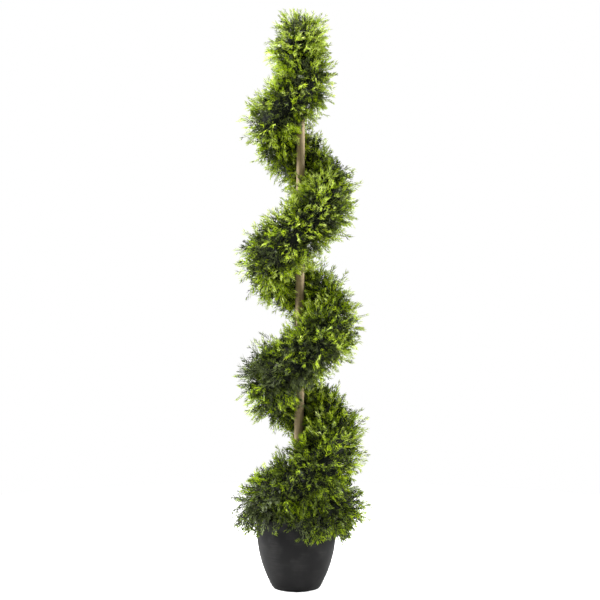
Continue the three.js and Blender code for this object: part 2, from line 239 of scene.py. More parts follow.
class TopiaryGarlandSettings(bpy.types.PropertyGroup):
    """Fullness and tones of the garland"""

    seed: IntProperty(name="Seed", description="Start of the random stream", default=20)
    twig_spacing: length("Twig spacing", "Distance between twigs along the garland", 3.4 * MM)
    inner_sprays: count("Inner sprays", "Short dark sprays on each twig", 7, 0)
    outer_sprays: count("Outer sprays", "Sprays on each twig that reach outside", 12, 1)
    spray_length: length("Spray length", "Mean length of a spray", 40 * MM)
    core: share("Core", "Radius of the dark heart, of the reach", 0.42)
    # The cores' colour: near-black, painted shade deep inside the garland.
    painted_shade_core: colour("Heart", "Colour of the dark heart", (0.004, 0.006, 0.003))
    shade: colour("Shade", "Darkest tone, deep inside", (0.010, 0.014, 0.004))
    blue_green: colour("Blue green", "Tone of the old dark sprays", (0.060, 0.077, 0.025))
    deep: colour("Deep green", "Tone of the plain green sprays", (0.115, 0.165, 0.008))
    leaf: colour("Leaf green", "Tone of the fresh sprays", (0.290, 0.410, 0.003))
    lime: colour("Lime", "Tone of the young sprays", (0.380, 0.500, 0.010))
    # The youngest tips' own tone, made paler and brighter as a painted glint and backlit glow.
    yellow: colour("Yellow green", "Tone of the youngest tips", (0.440, 0.530, 0.110))
    grey: colour("Grey green", "Tone of the old sprays' tips", (0.086, 0.112, 0.030))
    wire: colour("Wire", "Colour of the wrapped twigs", (0.045, 0.042, 0.020))


class TopiaryStageSettings(bpy.types.PropertyGroup):
    """The camera's place and the lamps' power"""

    distance: length("Distance", "From the camera to the pot's middle", 3.475)
    camera_height: length("Camera height", "Height of the level camera", 0.745)
    camera_side: length("Camera side", "How far the camera stands to the right", 0.0093)
    view_height: length("View height", "What the picture takes in at the plant", 1.557)
    key: power("Key light", "Power of the key light", 390)
    fill: power("Fill light", "Power of the fill light", 355)
    crown: power("Top light", "Power of the top light", 130)
    dome: FloatProperty(name="Dome light", description="Strength of the sky", default=0.40, min=0)
    floor: colour("Floor", "Colour of the floor near the pot", (0.93, 0.93, 0.93))


# ------------------------------------------------------------------ materials


def new_material(name, roughness, specular=0.5):
    """A material with its Principled shader, and its tree and shader."""
    material = bpy.data.materials.new(name)
    material.use_nodes = True
    tree = material.node_tree
    shader = tree.nodes["Principled BSDF"]
    shader.inputs["Roughness"].default_value = roughness
    shader.inputs["Specular IOR Level"].default_value = specular
    return material, tree, shader


def add_node(tree, kind, inputs=(), **settings):
    """A node with its settings, and inputs as {socket: value or output}."""
    node = tree.nodes.new(kind)
    for key, value in settings.items():
        setattr(node, key, value)
    for key, value in dict(inputs).items():
        if isinstance(value, bpy.types.NodeSocket):
            tree.links.new(value, node.inputs[key])
        else:
            node.inputs[key].default_value = value
    return node


def calculate(tree, operation, *values, clamp=False):
    """The output of a Math node, where each value is a number or an output."""
    inputs = dict(enumerate(values))
    node = add_node(tree, "ShaderNodeMath", inputs, operation=operation, use_clamp=clamp)
    return node.outputs[0]


def map_range(tree, value, **ends):
    """The output of a Map Range node, with the ends as from_min, from_max, to_min and to_max."""
    inputs = {key.replace("_", " ").title(): end for key, end in ends.items()}
    return add_node(tree, "ShaderNodeMapRange", {"Value": value, **inputs}).outputs["Result"]


def mix_colours(tree, factor, first, second):
    """The colour output of a mix, where each value is a number, a colour or an output."""
    node = add_node(tree, "ShaderNodeMix", data_type="RGBA")
    for socket, value in zip((node.inputs[0], node.inputs[6], node.inputs[7]), (factor, first, second)):
        if isinstance(value, bpy.types.NodeSocket):
            tree.links.new(value, socket)
        elif isinstance(value, (int, float)):
            socket.default_value = value
        else:
            socket.default_value = (*value, 1)
    return node.outputs[2]


def mottle_group():
    """A shader node group: soft patches of noise between two levels, on stretched coordinates."""
    made = bpy.data.node_groups.get("mottle")
    if made:
        return made
    group = bpy.data.node_groups.new("mottle", "ShaderNodeTree")
    interface = group.interface
    interface.new_socket("Vector", in_out="INPUT", socket_type="NodeSocketVector")
    for name, default in (("Scale", 10.0), ("Detail", 4.0), ("Low", 0.4), ("High", 0.6)):
        socket = interface.new_socket(name, in_out="INPUT", socket_type="NodeSocketFloat")
        socket.default_value = default
    interface.new_socket("Mask", in_out="OUTPUT", socket_type="NodeSocketFloat")
    entry = group.nodes.new("NodeGroupInput")
    out = group.nodes.new("NodeGroupOutput")
    texture = add_node(
        group,
        "ShaderNodeTexNoise",
        {name: entry.outputs[name] for name in ("Vector", "Scale", "Detail")},
    )
    level = add_node(
        group,
        "ShaderNodeMapRange",
        {
            "Value": texture.outputs["Fac"],
            "From Min": entry.outputs["Low"],
            "From Max": entry.outputs["High"],
        },
        interpolation_type="SMOOTHSTEP",
    )
    group.links.new(level.outputs["Result"], out.inputs["Mask"])
    return group


def mottle(tree, scale, detail=4.0, low=0.4, high=0.6, stretch=(1, 1, 1)):
    """The mask of the mottle group on the piece's own coordinates."""
    place = add_node(tree, "ShaderNodeTexCoord")
    mapping = add_node(tree, "ShaderNodeMapping", {"Vector": place.outputs["Object"], "Scale": stretch})
    node = add_node(tree, "ShaderNodeGroup", node_tree=mottle_group())
    tree.links.new(mapping.outputs["Vector"], node.inputs["Vector"])
    for key, value in (("Scale", scale), ("Detail", detail), ("Low", low), ("High", high)):
        node.inputs[key].default_value = value
    return node.outputs["Mask"]


def set_relief(tree, shader, height, distance, strength=1.0):
    """Feeds a height to the shader's normal, with the relief's depth."""
    inputs = {"Height": height, "Strength": strength, "Distance": distance}
    bump = add_node(tree, "ShaderNodeBump", inputs)
    tree.links.new(bump.outputs["Normal"], shader.inputs["Normal"])


def pot_material(settings):
    """Matt charcoal with a dusty bloom, faint level streaks and a fine grain."""
    material, tree, shader = new_material("pot_charcoal", roughness=0.8, specular=0.09)
    patches = mottle(tree, scale=22, detail=7, low=0.40, high=0.74)
    streaks = mottle(tree, scale=60, detail=3, low=0.4, high=0.7, stretch=(0.25, 0.25, 3.5))
    both = calculate(tree, "MULTIPLY_ADD", patches, streaks, patches)
    place = add_node(tree, "ShaderNodeTexCoord")
    height = add_node(tree, "ShaderNodeSeparateXYZ", {"Vector": place.outputs["Object"]}).outputs["Z"]
    most = settings.dusting
    # The wall is paler towards the top and darker towards the bottom.
    higher = map_range(tree, height, from_max=settings.belly_height, to_min=0.3 * most, to_max=most)
    dusting = calculate(tree, "MULTIPLY", both, higher, clamp=True)
    surface = mix_colours(tree, dusting, settings.charcoal, settings.dust)
    tree.links.new(surface, shader.inputs["Base Color"])
    rough = map_range(tree, dusting, to_min=0.62, to_max=0.92)
    tree.links.new(rough, shader.inputs["Roughness"])
    grain = mottle(tree, scale=900, detail=2, low=0.2, high=0.8)
    set_relief(tree, shader, grain, distance=0.15 * MM, strength=0.6)
    return material


def filling_material(settings):
    """Rough dark cast filling, darker in its low spots as painted shade, paler on its crumbs."""
    material, tree, shader = new_material("filling", roughness=0.95, specular=0.2)
    patches = mottle(tree, scale=120, detail=5, low=0.35, high=0.7)
    # The relief's low spots take the darker colour, painted shade in the recesses.
    surface = mix_colours(tree, patches, settings.painted_shade_hollows, settings.crumbs)
    tree.links.new(surface, shader.inputs["Base Color"])
    set_relief(tree, shader, patches, distance=2 * MM)
    return material


def trunk_material(settings):
    """Debarked pale wood: upright grain, broad stains, and a sprinkling of dark specks."""
    material, tree, shader = new_material("trunk_wood", roughness=0.75, specular=0.3)
    grain = mottle(tree, scale=260, detail=5, low=0.34, high=0.66, stretch=(1, 1, 0.06))
    stains = mottle(tree, scale=34, detail=4, low=0.35, high=0.7, stretch=(1, 1, 0.35))
    bands = mottle(tree, scale=60, detail=2, low=0.45, high=0.75, stretch=(0.15, 0.15, 1.6))
    specks = mottle(tree, scale=420, detail=1, low=0.66, high=0.72, stretch=(1, 1, 0.5))
    pale, dark = settings.pale, settings.dark
    middle = [(a + b) / 2 for a, b in zip(pale, dark)]
    wood = mix_colours(tree, grain, middle, pale)
    wood = mix_colours(tree, calculate(tree, "MULTIPLY", stains, 0.55), wood, middle)
    wood = mix_colours(tree, calculate(tree, "MULTIPLY", bands, 0.3), wood, dark)
    wood = mix_colours(tree, specks, wood, dark)
    tree.links.new(wood, shader.inputs["Base Color"])
    set_relief(tree, shader, grain, distance=0.5 * MM)
    return material


def plain_material(name, base, roughness):
    """One plain matt colour, for a tone of the sprays, the twigs or the hearts."""
    material, _, shader = new_material(name, roughness, specular=0.2)
    shader.inputs["Base Color"].default_value = (*base, 1)
    return material


# ------------------------------------------------------------------ making pieces


def add_object(name, data):
    """A new object in the scene with a mesh, a curve, a light or a camera."""
    made = bpy.data.objects.new(name, data)
    bpy.context.scene.collection.objects.link(made)
    return made


def add_piece(name, mesh, materials, replaced=()):
    """Puts a mesh into the scene as a piece that rides on the frame's one body."""
    piece = add_object(name, mesh)
    for material in materials:
        mesh.materials.append(material)
    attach(piece, "root")
    if replaced:
        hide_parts(*replaced)


def mesh_from_bmesh(name, bm):
    """A smooth mesh of a bmesh, with its doubles merged and its faces turned outwards."""
    bmesh.ops.remove_doubles(bm, verts=bm.verts, dist=1e-6)
    bmesh.ops.recalc_face_normals(bm, faces=bm.faces)
    for face in bm.faces:
        face.smooth = True
    mesh = bpy.data.meshes.new(name)
    bm.to_mesh(mesh)
    bm.free()
    return mesh


def mesh_from_arrays(name, vertices, triangles, tones=None):
    """A joined mesh from an array of vertices and one of triangles, with each one's material."""
    mesh = bpy.data.meshes.new(name)
    mesh.vertices.add(len(vertices))
    mesh.vertices.foreach_set("co", np.ascontiguousarray(vertices, dtype=np.float32).ravel())
    mesh.loops.add(len(triangles) * 3)
    mesh.loops.foreach_set("vertex_index", np.ascontiguousarray(triangles, dtype=np.int32).ravel())
    mesh.polygons.add(len(triangles))
    mesh.polygons.foreach_set("loop_start", np.arange(0, len(triangles) * 3, 3, dtype=np.int32))
    if tones is not None:
        mesh.polygons.foreach_set("material_index", np.ascontiguousarray(tones, dtype=np.int32))
    mesh.update(calc_edges=True)
    mesh.validate()
    return mesh


def spun(name, section, steps):
    """A closed half-section in the XZ plane, spun once round Z."""
    bm = bmesh.new()
    corners = [bm.verts.new((r, 0, z)) for r, z in section]
    edges = [bm.edges.new(pair) for pair in zip(corners, corners[1:])]
    bmesh.ops.spin(
        bm,
        geom=corners + edges,
        cent=(0, 0, 0),
        axis=(0, 0, 1),
        angle=2 * math.pi,
        steps=steps,
        use_merge=True,
    )
    return mesh_from_bmesh(name, bm)


# ------------------------------------------------------------------ pot and filling

# How finely the pot and its filling are divided.
POT_FACETS = 128
WALL_RINGS = 40
ROUND_STEPS = 5
UNDERSIDE_RING = 0.8
FILLING_FACETS = 96
FILLING_WALL_RINGS = 12
FILLING_TOP_RINGS = 26

# The filling keeps clear of the pot's floor and wall. Its top rises to the middle, is lumpy, and
# has settled a little.
FILLING_GAP = 1 * MM
FILLING_SIDE_GAP = 2.2 * MM
FILLING_CROWN = 5 * MM
FILLING_LUMPS = 2.5 * MM
FILLING_LUMP_FINENESS = (90, 230)
FILLING_SETTLED = 1.5 * MM
FILLING_SMOOTH_EDGE = 2 * MM


def pot_wall_radius(z, settings):
    """The outer wall: one arc from the foot to the upright belly, and on over the rim."""
    sagitta = POT_BELLY - settings.foot_radius
    arc = (settings.belly_height**2 + sagitta**2) / (2 * sagitta)
    return POT_BELLY - arc + math.sqrt(arc**2 - (z - settings.belly_height) ** 2)


def arc_points(centre, radius, start, end, steps):
    """Points of a round edge, with angles in degrees."""
    angles = [math.radians(start + (end - start) * i / steps) for i in range(steps + 1)]
    return [(centre[0] + radius * math.cos(a), centre[1] + radius * math.sin(a)) for a in angles]


def make_pot(settings):
    """The pot: foot, outer wall, rounded lip, inner wall and floor, spun round its middle."""
    lip = settings.rim_round
    foot = settings.foot_round
    foot_radius = settings.foot_radius
    floor = POT_LOW.z + settings.floor
    top = POT_HEIGHT - lip
    outer = pot_wall_radius(top, settings)
    inner = outer - settings.wall
    steps = [i / WALL_RINGS for i in range(1, WALL_RINGS + 1)]
    section = [(0, 0), (foot_radius * UNDERSIDE_RING, 0)]
    section += arc_points((foot_radius - foot, foot), foot, -90, -10, ROUND_STEPS)
    section += [(pot_wall_radius(top * step, settings), top * step) for step in steps]
    section += arc_points((outer - lip, top), lip, 10, 90, ROUND_STEPS)
    section += arc_points((inner + lip, top), lip, 90, 170, ROUND_STEPS)
    for step in steps:
        z = top + (floor - top) * step
        section.append((pot_wall_radius(z, settings) - settings.wall, z))
    section.append((0, floor))
    add_piece("pot_shell", spun("pot_shell", section, POT_FACETS), [pot_material(settings)], ["pot"])


def make_filling(settings):
    """The dark cast filling, with a rough, slightly crowned top."""
    low = POT_LOW.z + settings.floor + FILLING_GAP
    top = BALLAST_TOP - FILLING_CROWN
    side = lambda z: pot_wall_radius(z, settings) - settings.wall - FILLING_SIDE_GAP
    edge = side(top)
    section = [(0, low)]
    for ring in range(FILLING_WALL_RINGS + 1):
        z = low + (top - low) * ring / FILLING_WALL_RINGS
        section.append((side(z), z))
    for ring in range(1, FILLING_TOP_RINGS + 1):
        inwards = ring / FILLING_TOP_RINGS
        section.append((edge * (1 - inwards), top + FILLING_CROWN * smooth_step(inwards)))
    mesh = spun("pot_filling", section, FILLING_FACETS)
    coarse, fine = FILLING_LUMP_FINENESS
    for vertex in mesh.vertices:
        spot = vertex.co
        on_top = spot.z > top - 1 * MM
        if on_top and math.hypot(spot.x, spot.y) < edge - FILLING_SMOOTH_EDGE:
            lumps = noise.noise(spot * coarse) + 0.5 * noise.noise(spot * fine)
            spot.z += FILLING_LUMPS * lumps - FILLING_SETTLED
    add_piece("pot_filling", mesh, [filling_material(settings)], ["ballast"])


# ------------------------------------------------------------------ trunk

# Layers of noise that make the wood's grooves: weight, and fineness round the trunk and along it.
GROOVES = ((0.9, 5, 14), (0.5, 16, 40))
SWELLING = 0.7 * MM
SWELLING_FINENESS = (0.8, 9)
# Its knots: how far up each one is, from foot to tip, and on which side, in radians.
KNOTS = ((0.08, 2.0), (0.21, 5.1), (0.34, 0.6), (0.47, 4.0), (0.58, 1.2), (0.69, 5.6), (0.82, 3.1))
KNOT_HEIGHT = 9 * MM
KNOT_TURN = 0.45
KNOT_SWELL = 1.3 * MM
KNOT_PIT = 1.6 * MM
KNOT_PIT_SHARPNESS = 5


def wood_noise(turn, z, around, along):
    """Noise on the trunk's surface, with its fineness around it and along it."""
    return noise.noise(Vector((math.cos(turn) * around, math.sin(turn) * around, z * along)))


def knot_relief(turn, z):
    """How far the knots lift the surface at a turn and a height, or sink it."""
    lift = 0
    for share_up, side in KNOTS:
        rise = (z - TRUNK_FOOT - (TRUNK_TIP - TRUNK_FOOT) * share_up) / KNOT_HEIGHT
        aside = math.remainder(turn - side, 2 * math.pi) / KNOT_TURN
        far = rise * rise + aside * aside
        lift += KNOT_SWELL * math.exp(-far) - KNOT_PIT * math.exp(-far * KNOT_PIT_SHARPNESS)
    return lift


def make_trunk(settings):
    """The trunk with the relief of its wood: fine upright grooves, soft swellings, a few knots."""
    bm = bmesh.new()
    bmesh.ops.create_cone(
        bm, cap_ends=True, segments=settings.sides, radius1=1, radius2=1, depth=1
    )
    upright = [e for e in bm.edges if abs(e.verts[0].co.z - e.verts[1].co.z) > 0.5]
    bmesh.ops.subdivide_edges(bm, edges=upright, cuts=settings.rings, use_grid_fill=True)
    for vertex in bm.verts:
        turn = math.atan2(vertex.co.y, vertex.co.x)
        z = TRUNK_FOOT + (TRUNK_TIP - TRUNK_FOOT) * (vertex.co.z + 0.5)
        x_mid, y_mid = trunk_centre(z)
        grooves = sum(weight * wood_noise(turn, z, *fineness) for weight, *fineness in GROOVES)
        radius = float(trunk_radius(z)) + settings.relief * grooves
        radius += SWELLING * wood_noise(turn, z, *SWELLING_FINENESS) + knot_relief(turn, z)
        vertex.co = (x_mid + radius * math.cos(turn), y_mid + radius * math.sin(turn), z)
    add_piece("trunk_wood", mesh_from_bmesh("trunk_wood", bm), [trunk_material(settings)], ["trunk"])


# ------------------------------------------------------------------ garland

# A leaflet is widest at a share of its length. Its sides fold down by a share of its width.
LEAFLET_SHOULDER = 0.25
LEAFLET_FOLD = 0.3


class Shape:
    """One small shape as arrays: vertices, triangles, and each triangle's level of tone."""

    def __init__(self):
        self.vertices = []
        self.triangles = []
        self.levels = []

    def add_leaflet(self, root, angle, size, width, tilt, level):
        """A folded pointed leaflet in the XY plane: angle is from +Y, tilt lifts its tip."""
        ahead = np.array([math.sin(angle), math.cos(angle), math.sin(tilt)])
        side = np.array([math.cos(angle), -math.sin(angle), 0.0])
        fold = np.array([0.0, 0.0, LEAFLET_FOLD * width])
        middle = root + LEAFLET_SHOULDER * size * ahead
        at = len(self.vertices)
        self.vertices += [
            root,
            middle + side * width / 2 - fold,
            root + size * ahead,
            middle - side * width / 2 - fold,
        ]
        self.triangles += [(at, at + 1, at + 2), (at, at + 2, at + 3)]
        self.levels += [level, level]

    def arrays(self):
        """What was added, as arrays."""
        return np.array(self.vertices), np.array(self.triangles), np.array(self.levels)


# The parts of a spray one unit long. A rib of pieces, each at a step from the last. Strands along it
# that get shorter towards its tip, with two forks each: how far out, and how far they turn. Tilts
# and turns are in radians, and the strands' angles to the rib in degrees.
RIB_PIECES = 3
RIB_STEP = 0.27
RIB_PIECE = 0.4
RIB_WIDTH = 0.05
RIB_TILT = 0.02
STRANDS = 8
STRANDS_FROM = 0.08
STRANDS_RUN = 0.78
STRANDS_UNEVEN = 0.5
STRAND_LENGTH = 0.48
STRAND_LENGTH_LOST = 0.2
STRAND_WIDTH = 0.074
STRAND_ANGLES = (26, 50)
STRAND_ANGLE_LOST = 8
STRAND_TILT = 0.6
FORKS = ((0.4, 0.5), (0.65, -0.45))
FORK_LENGTH = 0.26
FORK_LENGTH_LOST = 0.08
FORK_WIDTH = 0.062
FORK_TILT = 0.4
END_FORK_FROM = 0.8
END_FORK_TURN = 0.35
END_FORK_TILT = 0.3
# How strands and forks vary in length, as a factor.
LENGTH_FACTORS = (0.7, 1.2)
# Levels of a spray's parts, which its tones are dealt out by: how many of the parts that are no tip
# have the strands' level, and how many forks the tips', at the spray's foot and more at its end.
FOOT, STRAND, TIP = range(3)
STRAND_LEVELS = 0.6
TIP_LEVELS = 0.3
TIP_LEVELS_GAINED = 0.45


def spray_shape(rng):
    """A cedar spray one unit long: a rib with side strands that fork and point ahead."""
    shape = Shape()
    foot_or_strand = lambda: STRAND if rng.random() < STRAND_LEVELS else FOOT
    for step in range(RIB_PIECES):
        root = np.array([0, RIB_STEP * step, 0])
        shape.add_leaflet(root, 0, RIB_PIECE, RIB_WIDTH, RIB_TILT, min(step, STRAND))
    for index in range(STRANDS):
        side = 1 if index % 2 else -1
        up = (index + STRANDS_UNEVEN * rng.random()) / STRANDS
        root = np.array([0, STRANDS_FROM + STRANDS_RUN * up, 0])
        reach = (STRAND_LENGTH - STRAND_LENGTH_LOST * up) * rng.uniform(*LENGTH_FACTORS)
        angle = side * math.radians(rng.uniform(*STRAND_ANGLES) - STRAND_ANGLE_LOST * up)
        tilt = rng.uniform(-STRAND_TILT, STRAND_TILT)
        shape.add_leaflet(root, angle, reach, STRAND_WIDTH, tilt, foot_or_strand())
        ahead = np.array([math.sin(angle), math.cos(angle), math.sin(tilt)])
        for share_out, turn in FORKS:
            fork = root + share_out * reach * ahead
            size = (FORK_LENGTH - FORK_LENGTH_LOST * up) * rng.uniform(*LENGTH_FACTORS)
            is_tip = rng.random() < TIP_LEVELS + TIP_LEVELS_GAINED * up
            level = TIP if is_tip else foot_or_strand()
            fork_tilt = tilt + rng.uniform(-FORK_TILT, FORK_TILT)
            shape.add_leaflet(fork, angle + side * turn, size, FORK_WIDTH, fork_tilt, level)
    end = np.array([0, END_FORK_FROM, 0])
    for flip in (-1, 0, 1):
        tilt = rng.uniform(-END_FORK_TILT, END_FORK_TILT)
        shape.add_leaflet(end, END_FORK_TURN * flip, FORK_LENGTH, FORK_WIDTH, tilt, TIP)
    return shape.arrays()


# Tones of the foot, strands and tips of each kind of spray, as indexes into TONES.
TONES = ("shade", "blue_green", "deep", "leaf", "lime", "yellow", "grey")
INNER, OLD, PLAIN, FRESH, BRIGHT = range(5)
KIND_TONES = np.array(((0, 0, 2), (0, 1, 6), (0, 2, 3), (0, 3, 4), (1, 4, 5)))

# Darker (below 0) or lighter (above 0) spots, partly older or younger sprays, partly painted shade
# under the coils and painted light: centre and spread in millimetres, and how much lighter there.
GROWTH_AND_PAINTED_LIGHT = (
    ((35, -90, 1340), 35, -1.2),
    ((-35, -80, 1170), 45, -1.0),
    ((65, -60, 930), 40, -0.8),
    ((-95, -80, 840), 35, -1.0),
    ((-70, -110, 560), 60, -1.2),
    ((-130, -50, 540), 45, -1.4),
    ((30, -120, 600), 45, -0.5),
    ((50, -10, 450), 40, -1.2),
    ((80, -10, 515), 35, 1.2),
    ((115, -30, 1070), 35, -1.0),
    ((-50, -100, 345), 30, -1.0),
    ((80, -120, 245), 40, -1.0),
    ((-135, -60, 200), 50, -2.6),
    ((0, -150, 250), 70, -0.4),
    ((-45, -140, 200), 45, -1.2),
    ((-50, -40, 1400), 45, 1.2),
    ((-115, -30, 1250), 35, 1.0),
    ((65, -90, 1040), 45, 0.9),
    ((-25, -110, 960), 50, 1.0),
    ((-95, -50, 760), 35, 1.2),
    ((100, 0, 760), 50, 1.2),
    ((115, -70, 610), 50, 1.4),
    ((-60, -100, 490), 30, 1.0),
    ((120, -70, 390), 50, 1.5),
    ((-125, -60, 275), 35, 1.6),
)

# How much lighter a twig's sprays are: its weights of those crowds, of patches (with their fineness
# per metre), of the climb past a height and of the top, which begins at a height and is full a run
# above it. Climb and top are painted light: the higher up, the lighter.
CROWD_WEIGHT = 0.4
PATCHES = ((0.55, 15), (0.25, 45))
PAINTED_CLIMB_LIGHT = 0.32
CLIMB_FROM = 0.8
PAINTED_TOP_LIGHT = 1.1
TOP_FROM = 1.38
TOP_RUN = 0.1

# A spray's lightness, which deals out the kinds in quarters: its mean, what comes by chance from
# its twig and from itself, and how fast it grows past a share of the reach, give or take a little.
# That rise at the outer tips is partly young shoots and partly painted rim light.
YOUTH = 0.31
YOUTH_OF_TWIG = 0.15
YOUTH_OF_SPRAY = 0.18
TIP_YOUTH_AND_RIM_LIGHT = 6.5
TIP_FROM = 0.89
TIP_SPREAD = 0.05
TIP_LOWEST = -0.06
OLD_INSIDE = 0.3
# How strongly the tips lighten: its mean and limits, its share of the twig's lightness, and a
# painted side light factor, which falls from the sides towards the front and back, so that sprays
# pointing to the front or back stay darker.
VIGOUR = 0.6
VIGOUR_LIMITS = (0.05, 1.2)
VIGOUR_OF_GROWTH = 1.6
PAINTED_SIDE_LIGHT = 1.15
PAINTED_SIDE_LIGHT_LOST = 0.9
# Below this height old sprays are rare, but for the skirt's left side, up to this place. Of each
# cycle of a twig's sprays, the first few become plain instead and the others inner ones.
LUSH_BELOW = 420 * MM
LUSH_UNEVEN = 100 * MM
LUSH_CYCLE = 5
LUSH_PLAIN = 2
AGED_LEFT_OF = -40 * MM
AGED_BELOW = 270 * MM

# Where sprays grow. Inner ones have the first share of their twig. Roots begin at a share of the
# reach, run on along the twig and stand aside of it.
INNER_SHARE = 0.25
ROOTS_FROM = 0.33
ROOTS_RUN = 0.43
ROOTS_ASIDE = 0.22
# Their lean from the twig in radians: at its foot, less at its tip, and more for the inner ones.
LEAN = 0.85
LEAN_LOST = 0.7
LEAN_SPREAD = 0.15
LEAN_INSIDE = 0.3
LEAN_MOST = 1.3
# The room they have, in shares of the reach: the inner ones', the outer ones' and the few furthest.
INNER_ROOM = 0.74
OUTER_ROOM = 0.72
FURTHEST_ROOM = 0.54
FURTHEST_RARITY = 1.9
SIZE_FACTORS = (0.75, 1.15)
# The first one's turn round its twig, at most, in radians.
FIRST_TURN = 6.3
# The lowest ones hang, but for those round one azimuth in degrees, where the skirt sweeps out.
HANG_BELOW = 290 * MM
HANG_RUN = 100 * MM
HANG_WEIGHT = 0.5
SWEPT_AZIMUTH = -115
SWEPT_SPREAD = 30
# Their girth: slender where they reach far out, and at the top.
GIRTH = 1.1
GIRTH_LOST_OUTSIDE = 0.65
GIRTH_LOST_AT_TOP = 0.35
SLENDER_FROM = 0.8
SLENDER_RUN = 0.3

# Twigs: how evenly they follow each other, how far they turn and slant off, their radius at foot
# and tip, and the share of the reach that they run to. At the garland's ends they make a dome, which
# reaches less far at its middle than at its shoulder, and begins at a turn in radians at most.
TWIG_UNEVEN = 0.7
TWIG_TURN = 0.4
TWIG_SLANT = 0.3
TWIG_RADIUS = (1.2 * MM, 0.7 * MM)
TWIG_RUN = 0.66
LOW_END_TWIGS = 9
TOP_END_TWIGS = 20
DOME_REACH = 0.5
DOME_SHOULDER = 0.6
DOME_FIRST_TURN = 6

# Where the lowest masses hang over the pot's rim: which mass, between which two azimuths, how far
# out from the pot and how far below its rim.
RIM_TUFTS = (
    (0, -94, 77, 20 * MM, 0),
    (0, -80, -60, 10 * MM, 22 * MM),
    (0, -16, 4, 24 * MM, 24 * MM),
    (1, 77, 160, 20 * MM, 0),
    (2, 160, 238, 55 * MM, 0),
)
# Their sprays: degrees between them, gap to the pot, heights and lengths in millimetres, how far
# they point away, down and to the side, their girth and the share of each kind.
TUFT_SPACING = 1.6
TUFT_GAP = 5 * MM
TUFT_HEIGHTS = (-6, 26)
TUFT_LENGTHS = (24, 48)
TUFT_AWAY = (0.1, 0.8)
TUFT_DOWN = (0.6, 1)
TUFT_ASIDE = (-0.7, 0.7)
TUFT_GIRTH = 0.8
TUFT_KINDS = (0.2, 0.2, 0.35, 0.18, 0.07)

# The hearts, near-black tubes of painted shade inside each mass: how far in degrees they overlap and
# run on at the top, how far the garland's ends taper and to what share, their rings, their gap to the
# pot, and their lumps.
CORE_OVERLAP = 4
CORE_ONWARD = 20
CORE_LOW_TAPER = 30
CORE_TOP_TAPER = 40
CORE_LEAST = 0.2
CORE_RINGS = 26
CORE_GAP = 3 * MM
CORE_LUMPS = 7 * MM
CORE_LUMP_FINENESS = 40

# How many shapes of spray there are, how far each one bends and sweeps aside, and how far apart the
# masses' random streams start.
SPRAY_SHAPES = 8
BENDS = (-0.3, 0.4)
SWEEPS = (-0.25, 0.25)
SEED_STEP = 31

# Sprays and twigs keep this far off trunk and pot. A spray's outline, sideways and ahead in shares of
# its length, shows whether it does. If not, it is shortened, and left out below a length.
CLEARANCE = 2 * MM
SPRAY_OUTLINE = np.array(
    ((0, 0), (0, 0.5), (0, 1), (0.3, 0.5), (-0.3, 0.5), (0.22, 0.8), (-0.22, 0.8))
)
SHORTENINGS = 3
SHORTENED = 0.75
SHORTEST = 14 * MM


def twig_starts(index, settings, rng):
    """Where a mass's twigs leave the garland's centre line: steps of the golden turn round it."""
    first, last = mass_range(index)
    samples = garland_points(np.arange(first, last + 1.0))[0]
    run = np.sum(np.linalg.norm(np.diff(samples, axis=0), axis=1))
    twigs = int(run / settings.twig_spacing)
    steps = np.arange(twigs)
    shares = (steps + (1 - TWIG_UNEVEN) / 2 + TWIG_UNEVEN * rng.random(twigs)) / twigs
    at, along, away, across, reach = garland_frames(first + (last - first) * shares)
    angles = rng.random() * 2 * np.pi + steps * GOLDEN_TURN + TWIG_TURN * (rng.random(twigs) - 0.5)
    cos, sin = np.cos(angles)[:, None], np.sin(angles)[:, None]
    slant = rng.uniform(-TWIG_SLANT, TWIG_SLANT, (twigs, 1))
    return at, unit(away * cos + across * sin + along * slant), reach


def end_starts(turn, onward, twigs, rng):
    """Twigs spread over the garland's free end, as a dome."""
    frames = garland_frames(np.array([float(turn)]))
    at, along, away, across, reach = (value[0] for value in frames)
    steps = np.arange(twigs)
    tilt = np.arccos(1 - (steps + 0.5) / twigs)[:, None]
    angles = (rng.random() * DOME_FIRST_TURN + steps * GOLDEN_TURN)[:, None]
    ring = away * np.cos(angles) + across * np.sin(angles)
    out = onward * along * np.cos(tilt) + np.sin(tilt) * ring
    reach = reach * (DOME_REACH + DOME_SHOULDER * np.sin(2 * tilt[:, 0]))
    return np.repeat(at[None], twigs, axis=0), unit(out), reach


def crowd_growth_and_painted_light(places):
    """How much lighter the sprays here are than the mean, by age and by painted shade and light."""
    growth_and_painted_light = np.zeros(len(places))
    # Dark spots partly paint the shade under the coils, and light spots partly paint light.
    for centre, spread, change in GROWTH_AND_PAINTED_LIGHT:
        gap = np.linalg.norm(places / MM - np.array(centre), axis=-1) / spread
        growth_and_painted_light += change * np.exp(-0.5 * gap**2)
    return growth_and_painted_light


def twig_growth_and_painted_light(at, tips):
    """How much lighter each twig's sprays are than the mean, by age and by painted light and shade."""
    spots = [Vector(tip) for tip in tips]
    patches = [sum(weight * noise.noise(spot * fine) for weight, fine in PATCHES) for spot in spots]
    growth_and_painted_light = np.array(patches) + CROWD_WEIGHT * crowd_growth_and_painted_light(tips)
    # The climb and the top add painted light: the higher up, the lighter.
    climb = PAINTED_CLIMB_LIGHT * (at[:, 2] - CLIMB_FROM)
    return growth_and_painted_light + (climb + PAINTED_TOP_LIGHT * ramp(tips[:, 2], TOP_FROM, TOP_RUN))


